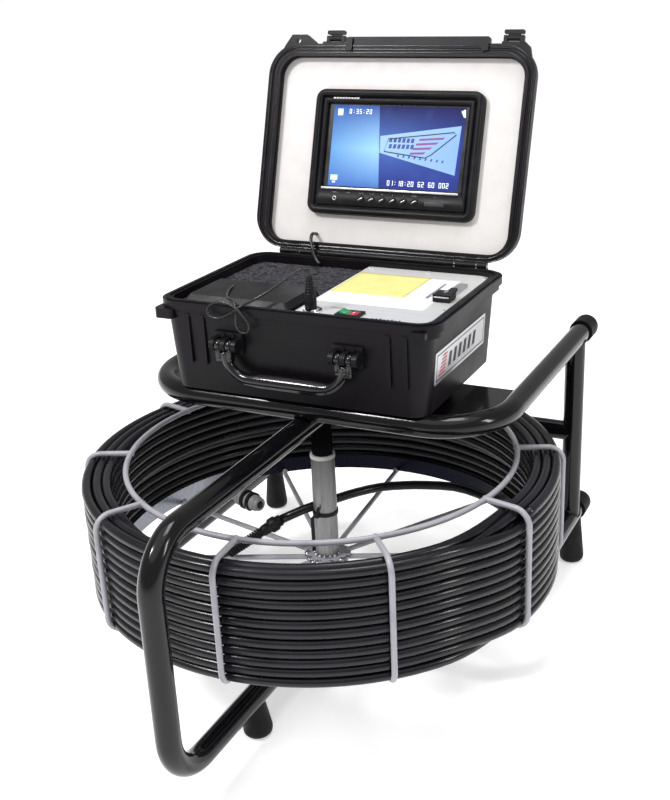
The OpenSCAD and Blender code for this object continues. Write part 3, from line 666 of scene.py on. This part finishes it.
FOAM_STEP, FOAM_X0, FOAM_Y0, FOAM_NX, FOAM_NY = 2.2, -182.5, -55.0, 79, 108
FOAM_TOP, POCKET_FLOOR, FOAM_LOW = 499.7, 489.6, 470


def foam():
    """Torn open-cell foam: a rough top with a pocket for the charger, and plain walls below."""
    bm = bmesh.new()

    def top(x, y):
        if -169.5 < x < -10.5 and -49.5 < y < 45.5:
            return POCKET_FLOOR
        p = Vector((x, y, 0))
        rough = noise.fractal(p / 5.0, 0.6, 2.1, 4) * 1.1 + noise.noise(p / 2.4) * 1.0
        return FOAM_TOP + max(-2.6, min(2.1, rough))

    corner_r = 20.4
    grid = {}
    for i in range(FOAM_NX):
        for j in range(FOAM_NY):
            x, y = FOAM_X0 + i * FOAM_STEP, FOAM_Y0 + j * FOAM_STEP
            past_x = max(0, abs(x + 4) - (178.2 - corner_r)) if x < -150 else 0
            past_y = max(0, abs(y - 64) - (119.5 - corner_r)) if abs(y - 64) > 95 else 0
            if past_x and past_y and math.hypot(past_x, past_y) > corner_r:
                continue
            grid[i, j] = bm.verts.new(Vector((x, y, top(x, y))) * MM)
    for i in range(FOAM_NX - 1):
        for j in range(FOAM_NY - 1):
            corner = [grid.get(c) for c in ((i, j), (i + 1, j), (i + 1, j + 1), (i, j + 1))]
            if all(corner):
                bm.faces.new(corner)
    rim = [e for e in bm.edges if len(e.link_faces) == 1]
    skirt = bmesh.ops.extrude_edge_only(bm, edges=rim)
    for v in skirt["geom"]:
        if isinstance(v, bmesh.types.BMVert):
            v.co.z = FOAM_LOW * MM
    return bm


foam_obj = mesh_object("torn_foam", foam(), M_FOAM, "stand")
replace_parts(foam_obj, "foam_block")

# charger: a strip of ports and lamps on its front, a seam round its waist
ports = bmesh.new()
for x, w in ((-150, 8), (-134, 6), (-122, 6)):
    mm_box((x, x + w), (-46.6, -45.4), (497, 501), 0.4, ports)
mesh_object("charger_ports", ports, M_PRINT, "stand")
waist = mm([(x, y, 503) for x, y in rounded_outline(-165, -14, -46, 42, 3)])
mesh_object("charger_seam", tube_bm(waist, 0.5 * MM, 6, True), M_RUBBER, "stand")

# plug: ribbed boot over the socket
boot = [(0, 495), (5.6, 495), (5.6, 509.2), (7.2, 509.6), (7.6, 510.4), (7.6, 524), (7.0, 525)]
for k in range(6):
    z = 526.2 + 3.5 * k
    r = 6.7 - 0.42 * k
    boot += [(r, z), (r, z + 1.9), (r - 0.8, z + 2.3), (r - 0.8, z + 3.1)]
boot += [(3.9, 547.6), (3.1, 549), (0, 549)]
plug = mm_lathe(boot, 36, None, mm_at(12, -32, 0))
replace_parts(mesh_object("plug_boot", plug, M_MATT, "stand"), "charger_plug")

# carrying handle: one smooth moulding, thicker where the fingers hold it
HANDLE_X, HANDLE_Y, HANDLE_Z = -7, -75, 463
HANDLE_HALF, HANDLE_LOW, HANDLE_R = 83, 421.2, 34


def handle_grip():
    path, radii = [], []
    half, low, corner = HANDLE_HALF, HANDLE_LOW, HANDLE_R
    for k in range(8):
        path.append((-half, 449 - (449 - low - corner) * k / 8))
    for k in range(17):
        a = math.pi + math.pi / 2 * k / 16
        path.append((-half + corner + corner * math.cos(a), low + corner + corner * math.sin(a)))
    for k in range(1, 24):
        x = -half + corner + (2 * half - 2 * corner) * k / 24
        path.append((x, low))
    path += [(-x, z) for x, z in reversed(path[:25])]
    for x, z in path:
        t = max(0.0, 1 - (x / 66) ** 4)
        radii.append((6.4 + 2.9 * t) * MM)
    return tube_bm([Vector((HANDLE_X + x, HANDLE_Y, z)) * MM for x, z in path], radii, 24)


EYE = [(3.1, -3.4), (6.8, -3.4), (7.6, -2.6), (7.6, 2.6), (6.8, 3.4), (3.1, 3.4)]
grip = handle_grip()
neck_y = (HANDLE_Y - 5.5, HANDLE_Y + 5.5)
for side in (-1, 1):
    end_x = HANDLE_X + side * HANDLE_HALF
    for x in (end_x - 7.8, end_x + 7.8):
        mm_lathe(EYE, 32, grip, mm_at(x, HANDLE_Y, HANDLE_Z) @ Matrix.Rotation(math.pi / 2, 4, "Y"))
        mm_box((x - 3.4, x + 3.4), neck_y, (446, 458), 1.2, grip)
    mm_box((end_x - 11.2, end_x + 11.2), neck_y, (441, 450), 2.4, grip)
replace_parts(mesh_object("carry_handle", grip, M_HANDLE, "handle"), "handle")

# panel screws: cross slots over the CAD heads, drawn as thin dark marks of painted shade for the recesses
slot_shade = bmesh.new()
for n, (x, y) in enumerate(((-1, 176), (83, 177), (166, 172), (168, 18), (40, -44), (150, -44))):
    for turn in (0, math.pi / 2):
        mm_box((-2.2, 2.2), (-0.35, 0.35), (0, 0.12), 0, slot_shade,
               mm_at(x, y, 506.35) @ Matrix.Rotation(turn + 0.5 * n, 4, "Z"))
mesh_object("screw_slot_shade", slot_shade, M_INK_AND_SHADE, "stand", smooth=False)


def sheet(name, x0, x1, y0, y1, z, mat, lift=0.3):
    """A thin sheet lying on the panel, one corner curling up a little."""
    bm = bmesh.new()
    steps = 12
    layers = []
    for thick in (0.0, 0.2):
        layers.append([[bm.verts.new((x0 + (x1 - x0) * i / steps, y0 + (y1 - y0) * j / steps,
                                      z + (thick + lift * (i * j / steps ** 2) ** 4) * MM))
                        for j in range(steps + 1)] for i in range(steps + 1)])
    for grid in layers:
        for i in range(steps):
            for j in range(steps):
                bm.faces.new((grid[i][j], grid[i + 1][j], grid[i + 1][j + 1], grid[i][j + 1]))
    low, high = layers
    rims = [([g[i][0] for i in range(steps + 1)], [g[i][-1] for i in range(steps + 1)], g[0], g[-1])
            for g in layers]
    for lower, upper in zip(*rims):
        for k in range(steps):
            bm.faces.new((lower[k], lower[k + 1], upper[k + 1], upper[k]))
    return mesh_object(name, bm, mat, "stand")


white = sheet("white_sheet", -7 * MM, 143 * MM, 12 * MM, 152 * MM, 505.05 * MM, M_PAPER)
sheet("yellow_sheet", -5 * MM, 99 * MM, 55 * MM, 151 * MM, 505.45 * MM, M_YELLOW, lift=0.2)
PAPER_INK, YELLOW_INK, PANEL_INK = (505.24, 505.30), (505.66, 505.72), (505.02, 505.08)
lines = bmesh.new()
rng = random.Random(3)
for row in range(9):
    x, y = 104, 142 - 9 * row
    while x < 136:
        w = rng.uniform(2.5, 8)
        mm_box((x, min(x + w, 139)), (y, y + 1.1), PAPER_INK, 0, lines)
        x += w + 1.6
for row in range(4):
    x, y = 2, 47 - 8 * row
    while x < 94:
        w = rng.uniform(4, 13)
        mm_box((x, min(x + w, 96)), (y, y + 1.2), PAPER_INK, 0, lines)
        x += w + 2.2
mesh_object("sheet_lines", lines, M_PRINT, "stand", smooth=False)
marks = bmesh.new()
for row in range(10):
    y = 142 - 9 * row
    mm_box((3, 70 + 11 * ((row * 7) % 3)), (y, y + 0.8), YELLOW_INK, 0, marks)
faint_ink = plain("faint_ink", (0.62, 0.56, 0.22), 0.6).mat
mesh_object("yellow_lines", marks, faint_ink, "stand", smooth=False)

# scale marks and legends on the metal in front of the sheet
legend = bmesh.new()
for k in range(8):
    mm_box((96 + 5 * k, 98.6 + 5 * k), (-39, -36 + k % 3), PANEL_INK, 0, legend)
for k in range(5):
    mm_box((30 + 3 * k, 31.4 + 3 * k), (-12, -8), PANEL_INK, 0, legend)
mesh_object("panel_legend", legend, M_INK_AND_SHADE, "stand", smooth=False)

# plate on the right wall: bare metal with printed bars
WALL_LEAN = math.atan2(7, 104)
on_plate = (mm_at(172, 0, 392.5) @ Matrix.Rotation(WALL_LEAN, 4, "Y")
            @ Matrix(((0, 0, 1, 0), (1, 0, 0, 0), (0, 1, 0, 0), (0, 0, 0, 1))))
plate = prism_bm([(y * MM, z * MM) for y, z in rounded_outline(-34, 141, 34, 76, 2, 4)],
                 -0.3 * MM, 0.7 * MM, 0.15 * MM, None, on_plate)
mesh_object("side_plate", plate, M_SILVER, "stand")
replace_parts(white, "labels")


def bar_on_plate(bm, points):
    part = bmesh.new()
    part.faces.new([part.verts.new((y * MM, z * MM, 0.74 * MM)) for y, z in points])
    merge(part, bm, on_plate)


border, red_bars, dark_bars = bmesh.new(), bmesh.new(), bmesh.new()
for y0, z0, y1, z1 in ((-30, 38, 137, 39.6), (-30, 70.4, 137, 72),
                       (-30, 38, -28.4, 72), (135.4, 38, 137, 72)):
    bar_on_plate(border, ((y0, z0), (y1, z0), (y1, z1), (y0, z1)))
for k in range(6):
    y0, y1, z = -24 + 2.6 * k, -2 + 1.2 * k, 43 + 4.4 * k
    bar_on_plate(red_bars, ((y0, z), (y1, z), (y1 + 1, z + 2.6), (y0 + 1.6, z + 2.6)))
for k in range(6):
    y = 8 + 17 * k
    bar_on_plate(dark_bars, ((y, 46), (y + 9.5, 46), (y + 13.5, 64), (y + 4, 64)))
mesh_object("plate_border", border, M_INK_AND_SHADE, "stand", smooth=False)
mesh_object("plate_red_bars", red_bars, M_RED, "stand", smooth=False)
mesh_object("plate_dark_bars", dark_bars, M_INK_AND_SHADE, "stand", smooth=False)

# rocker in two colours
rock = (mm_at(65, -32, 505) @ Matrix.Rotation(math.radians(7), 4, "Y")
        @ Matrix.Rotation(math.pi / 2, 4, "X"))
TOP_DIP, LOW_DIP = (0, 2.6), (0, -8)
left_half = [(-11.6, 5), (-10.5, -3), LOW_DIP, TOP_DIP]
right_half = [TOP_DIP, LOW_DIP, (10.5, -3), (11.6, 5)]
halves = [prism_bm([(x * MM, y * MM) for x, y in half], -7.2 * MM, 7.2 * MM, 0.4 * MM, None, rock)
          for half in (left_half, right_half)]
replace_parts(mesh_object("rocker_green", halves[0], M_GREEN, "rocker"), "rocker")
mesh_object("rocker_red", halves[1], M_RED, "rocker")
tick = mm_box((5.2, 6.4), (3.85, 4.0), (-3, 3), 0, None,
              rock @ Matrix.Rotation(0.2, 4, "Z") @ mm_at(0, -0.9, 0))
mesh_object("rocker_mark", tick, M_WHITE, "rocker", smooth=False)

# bright edges on the memory stick
stick = bmesh.new()
mm_box((141.5, 161.5), (49.9, 50.4), (511, 512.6), 0.1, stick)
mm_box((149.5, 154.5), (64, 70), (514.7, 515.1), 0.1, stick)
mesh_object("stick_trim", stick, M_SILVER, "memory_stick")


# ---------- lid ----------

LID = Matrix.Translation((0, 204 * MM, 513 * MM)) @ Matrix.Rotation(math.radians(-108), 4, "X")


def lid_box(bm, xs, ss, zs, bevel=0.0, turn=0.0):
    """A small box on the lid, by its spans across, from the hinge and in depth, in mm."""
    cx, cs = sum(xs) / 2, sum(ss) / 2
    mm_box([x - cx for x in xs], [s - cs for s in ss], zs, bevel, bm,
           LID @ mm_at(cx, -cs, 0) @ Matrix.Rotation(turn, 4, "Z"))


def lid_face(bm, points, z):
    """A flat printed shape on the lid from (across, from the hinge) points in mm."""
    bm.faces.new([bm.verts.new(LID @ Vector((x * MM, -s * MM, z * MM))) for x, s in points])


def lid_rect(bm, x0, x1, s0, s1, z):
    lid_face(bm, [(x0, s0), (x1, s0), (x1, s1), (x0, s1)], z)


def lid_ring(x0, x1, s0, s1, r, z, radius):
    """A round bead following a rounded rectangle on the lid."""
    path = [LID @ Vector((x * MM, y * MM, z * MM)) for x, y in rounded_outline(x0, x1, -s1, -s0, r, 10)]
    return tube_bm(path, radius * MM, 10, True)


def lid_bead(profile, x0, x1, s0, s1, r, steps=10, inner=None):
    """A moulding round a rounded rectangle on the lid; profile is (inset, depth) pairs from outside in."""
    loops = [[(p, z) for p in rounded_outline(x0 + e, x1 - e, -s1 + e, -s0 - e, max(r - e, 0.8), steps)]
             for e, z in profile]
    if inner:
        loops += [[(p, z) for p in rounded_outline(*inner[:4], 2, steps)] for z in inner[4:]]
    bm = bmesh.new()
    rings = [[bm.verts.new(LID @ Vector((p[0] * MM, p[1] * MM, z * MM))) for p, z in loop] for loop in loops]
    for a, b in zip(rings, rings[1:]):
        for k in range(len(a)):
            bm.faces.new((a[k], a[(k + 1) % len(a)], b[(k + 1) % len(a)], b[k]))
    return bm


HOOD_PROFILE = [(0, 14), (0, 6), (0.7, 3.3), (2.2, 1.2), (4.2, 0.2), (6, 0), (8, 0.5), (9.6, 1.9), (10.5, 4),
                (10.8, 7), (12.8, 7), (13.0, 4.4), (13.6, 3.9)]
hood = lid_bead(HOOD_PROFILE, -125.4, 128.5, 57, 233.2, 15, 10, (-106, 108, -214.3, -95.8, 3.9, 4.3, 10.4))
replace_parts(mesh_object("monitor_body", hood, M_MATT, "lid"), "monitor_hood")
mesh_object("lid_gasket", lid_ring(-196.7, 189.2, 10.1, 287.2, 36.5, 2.2, 1.5), M_HANDLE, "lid")
mesh_object("lid_outer_bead", lid_ring(-201.4, 193.9, 5.2, 291.6, 41, 1.0, 1.1), M_HANDLE, "lid")
mesh_object("lid_inner_bead", lid_ring(-190.6, 183.2, 9.4, 282.6, 32, 1.0, 1.0), M_HANDLE, "lid")
mesh_object("lid_inner_step", lid_ring(-185.6, 181.6, 14.9, 277.6, 27.6, 7.5, 1.0), M_MATT, "lid")


def screen_look(name, colours, x_span, z_span):
    """A lit display: two colours blended across and a third towards the top."""
    look = Look(name, colours[0], 0.12, specular=0.5)
    coords = look.add("ShaderNodeTexCoord")
    split = look.add("ShaderNodeSeparateXYZ")
    look.links.new(coords.outputs["Object"], split.inputs["Vector"])
    look.tint(split.outputs["X"], colours[1], *x_span)
    look.tint(split.outputs["Z"], colours[2], *z_span)
    look.tint(split.outputs["Z"], colours[3], z_span[0] - 0.002, z_span[0] - 0.055)
    look.tint(look.noise(25, 1), tuple(c * 1.1 for c in colours[0]), 0.6, 1.6)
    lit = look.shader.inputs["Base Color"].links[0].from_socket
    look.links.new(lit, look.shader.inputs["Emission Color"])
    look.shader.inputs["Emission Strength"].default_value = 0.55
    return look.mat


M_LEFT = screen_look("display_left",
                     ((0.10, 0.24, 0.48), (0.22, 0.42, 0.64), (0.02, 0.05, 0.24), (0.04, 0.11, 0.36)),
                     (-0.097, -0.03), (0.655, 0.715))
M_RIGHT = screen_look("display_right",
                      ((0.05, 0.10, 0.32), (0.02, 0.035, 0.18), (0.012, 0.012, 0.07), (0.018, 0.03, 0.18)),
                      (0.0, 0.10), (0.665, 0.71))
M_BANNER = screen_look("display_banner",
                       ((0.24, 0.38, 0.62), (0.17, 0.30, 0.54), (0.26, 0.38, 0.62), (0.20, 0.32, 0.56)),
                       (0.0, 0.10), (0.66, 0.72))
M_GLOW = plain("display_white", (0.80, 0.86, 0.92), 0.4)
M_GLOW.shader.inputs["Emission Color"].default_value = (0.8, 0.86, 0.92, 1)
M_GLOW.shader.inputs["Emission Strength"].default_value = 0.4
M_STRIPE = plain("display_purple", (0.22, 0.05, 0.26), 0.4).mat

# depths on the lid, in mm: the display, what is drawn on it, and the print on its frame
GLASS_Z, BLOCK_Z, FIGURE_Z, BEZEL_Z = 8.9, 8.78, 8.76, 3.9
left_part, right_part, banner = bmesh.new(), bmesh.new(), bmesh.new()
lid_face(left_part, [(-97.5, 97.5), (-17.5, 97.5), (-27, 211.5), (-97.5, 211.5)], GLASS_Z)
lid_face(right_part, [(-17.4, 97.5), (101, 97.5), (103, 211.5), (-26.9, 211.5)], GLASS_Z)
lid_face(banner, [(-20.8, 146.4), (94.6, 119.5), (97.8, 186.6), (-21.6, 169.6)], GLASS_Z - 0.06)
mesh_object("display_left_part", left_part, M_LEFT, "lid", smooth=False)
mesh_object("display_right_part", right_part, M_RIGHT, "lid", smooth=False)
mesh_object("display_banner_part", banner, M_BANNER, "lid", smooth=False)
stripes = bmesh.new()
for k in range(4):
    left, right, low, high = 38 - 4 * k, 76 - 9 * k, 167.5 - 6.4 * k, 170.6 - 7.0 * k
    lid_face(stripes, [(left, low), (right, high), (right - 3.5, high - 3.2), (left - 1, low - 2.9)], BLOCK_Z)
mesh_object("display_stripes", stripes, M_STRIPE, "lid", smooth=False)
outline = [(-14, 148.5), (-9, 166), (88, 177.6), (91.5, 174.5), (57, 146), (48, 141.5)]
edge_path = [LID @ Vector((x * MM, -s * MM, (GLASS_Z - 0.1) * MM)) for x, s in outline]
mesh_object("display_outline", tube_bm(edge_path, 0.7 * MM, 6, True), M_INK_AND_SHADE, "lid")
words = bmesh.new()
for row, (x0, s0, count, h) in enumerate(((-8, 161.5, 6, 6.0), (-8, 153.0, 6, 6.0), (6, 141.5, 9, 3.4))):
    for k in range(count):
        x = x0 + k * (6.6 if h > 4 else 8.4)
        drop = -0.18 * k * (0 if row < 2 else 4)
        low, wide = s0 + drop, h * 0.75
        lid_face(words, [(x, low), (x + wide, low), (x + wide + 1.2, low + h), (x + 1.2, low + h)], BLOCK_Z)
mesh_object("display_blocks", words, M_BLUE, "lid", smooth=False)

SEGMENTS = {"0": "abcdef", "1": "bc", "2": "abged", "3": "abgcd", "5": "afgcd", "6": "afgedc", "8": "abcdefg"}


def digits(bm, text, x, s, height, pitch):
    """Figures of a counter, each from straight segments."""
    w, t = height * 0.52, height * 0.13
    half = height / 2
    bars = {"a": (0, height - t, w, height), "g": (0, half - t / 2, w, half + t / 2), "d": (0, 0, w, t),
            "f": (0, half, t, height), "b": (w - t, half, w, height),
            "e": (0, 0, t, half), "c": (w - t, 0, w, half)}
    colon = [(w * 0.4, height * low, w * 0.4 + t, height * (low + 0.15)) for low in (0.2, 0.65)]
    for k, sign in enumerate(text):
        at = x + pitch * k
        for x0, y0, x1, y1 in colon if sign == ":" else [bars[c] for c in SEGMENTS.get(sign, "")]:
            lid_rect(bm, at + x0, at + x1, s + y0, s + y1, FIGURE_Z)


counter = bmesh.new()
digits(counter, "0:35:20", -73, 199.5, 6.6, 5.2)
digits(counter, "01:18:20 62 60 002", -5, 101.5, 7.2, 5.2)
for x0, x1, s0, s1 in ((-91, -83, 197, 206), (-94, -83, 106, 113), (-91, -86, 102, 104.5)):
    lid_rect(counter, x0, x1, s0, s1, FIGURE_Z)
lid_face(counter, [(95.5, 206), (99.5, 198.5), (102.5, 197.5), (101.5, 209)], FIGURE_Z)
mesh_object("display_counter", counter, M_GLOW.mat, "lid", smooth=False)

strip = bmesh.new()
lid_box(strip, (-105, 104.5), (92.2, 95.2), (2.6, 4.4), 0.6)
mesh_object("bezel_strip", strip, M_SILVER, "lid")
bezel_dark = bmesh.new()
lid_box(bezel_dark, (56, 85), (75.6, 81.4), (3.7, 4.3), 0.25)
mm_lathe([(0, 0), (1.5, 0), (1.5, 0.5), (0, 0.5)], 20, bezel_dark, LID @ mm_at(-62.5, -80.2, 3.7))
mesh_object("bezel_windows", bezel_dark, M_INK_AND_SHADE, "lid")
jack_angles = [2 * math.pi * k / 28 for k in range(28)]
jack = mm([(-82.5 + 2.5 * math.cos(a), -79.8 + 2.5 * math.sin(a), 3.8) for a in jack_angles])
mesh_object("bezel_jack", tube_bm([LID @ p for p in jack], 0.7 * MM, 8, True), M_SILVER, "lid")
notes = bmesh.new()
NOTES = ((-86, 9), (-64.5, 6), (-44, 7), (-27.5, 6.5), (-9.6, 2.2), (7, 1.8), (23.4, 1.8), (36, 9), (70, 1.8))
for x, w in NOTES:
    lid_rect(notes, x, x + w, 87.4, 88.6, BEZEL_Z)
for k in range(9):
    x = -98 + 4.6 * k
    lid_face(notes, [(x, 219), (x + 3.4, 219), (x + 3.8, 221.2), (x + 0.4, 221.2)], BEZEL_Z)
mesh_object("bezel_notes", notes, M_WHITE, "lid", smooth=False)
for i in range(6):
    ridge, x = bmesh.new(), -41.5 + 16.4 * i
    lid_box(ridge, (x - 3.6, x + 3.6), (79.6, 80.8), (2.2, 2.7), 0.2, math.radians(-28))
    mesh_object(f"button_ridge_{i + 1}", ridge, M_SILVER, f"button_{i + 1}")


# ---------- studio ----------

floor_bm = bmesh.new()
bmesh.ops.create_grid(floor_bm, x_segments=2, y_segments=2, size=60)
floor_me = bpy.data.meshes.new("floor")
floor_bm.to_mesh(floor_me)
floor_bm.free()
floor_look = Look("pale_floor", (0.88, 0.88, 0.88), 0.8, specular=0.05)
floor_look.tint(floor_look.noise(0.4, 2), (0.86, 0.86, 0.86), 0.4, 0.7)
floor_look.shader.inputs["Emission Color"].default_value = (1, 1, 1, 1)
floor_look.shader.inputs["Emission Strength"].default_value = 0.42
floor_me.materials.append(floor_look.mat)
floor = bpy.data.objects.new("floor", floor_me)
bpy.context.scene.collection.objects.link(floor)

world = bpy.data.worlds.new("studio")
world.use_nodes = True
world.node_tree.nodes["Background"].inputs["Color"].default_value = (1.0, 0.99, 0.98, 1)
world.node_tree.nodes["Background"].inputs["Strength"].default_value = 0.42
bpy.context.scene.world = world
bpy.context.scene.view_settings.view_transform = "Standard"


def aim(obj, at, target):
    obj.location = at
    obj.rotation_euler = (Vector(target) - Vector(at)).to_track_quat("-Z", "Y").to_euler()
    bpy.context.scene.collection.objects.link(obj)


def softbox(name, at, target, size, power, colour=(1, 1, 1)):
    data = bpy.data.lights.new(name, "AREA")
    data.shape = "RECTANGLE"
    data.size, data.size_y = size
    data.energy = power
    data.color = colour
    aim(bpy.data.objects.new(name, data), at, target)


softbox("key", (-1.3, -1.7, 2.6), (0, 0, 0.4), (0.5, 0.5), 60)
softbox("overhead", (0.3, 0.2, 2.9), (0, 0, 0.3), (1.3, 0.8), 24)
softbox("side", (2.4, -0.2, 1.5), (0, 0, 0.35), (0.3, 1.1), 18)
day = bpy.data.lights.new("fill", "SUN")
day.energy = 0.9
day.angle = math.radians(70)
aim(bpy.data.objects.new("fill", day), (0, -1, 4), (0, 0, 0))
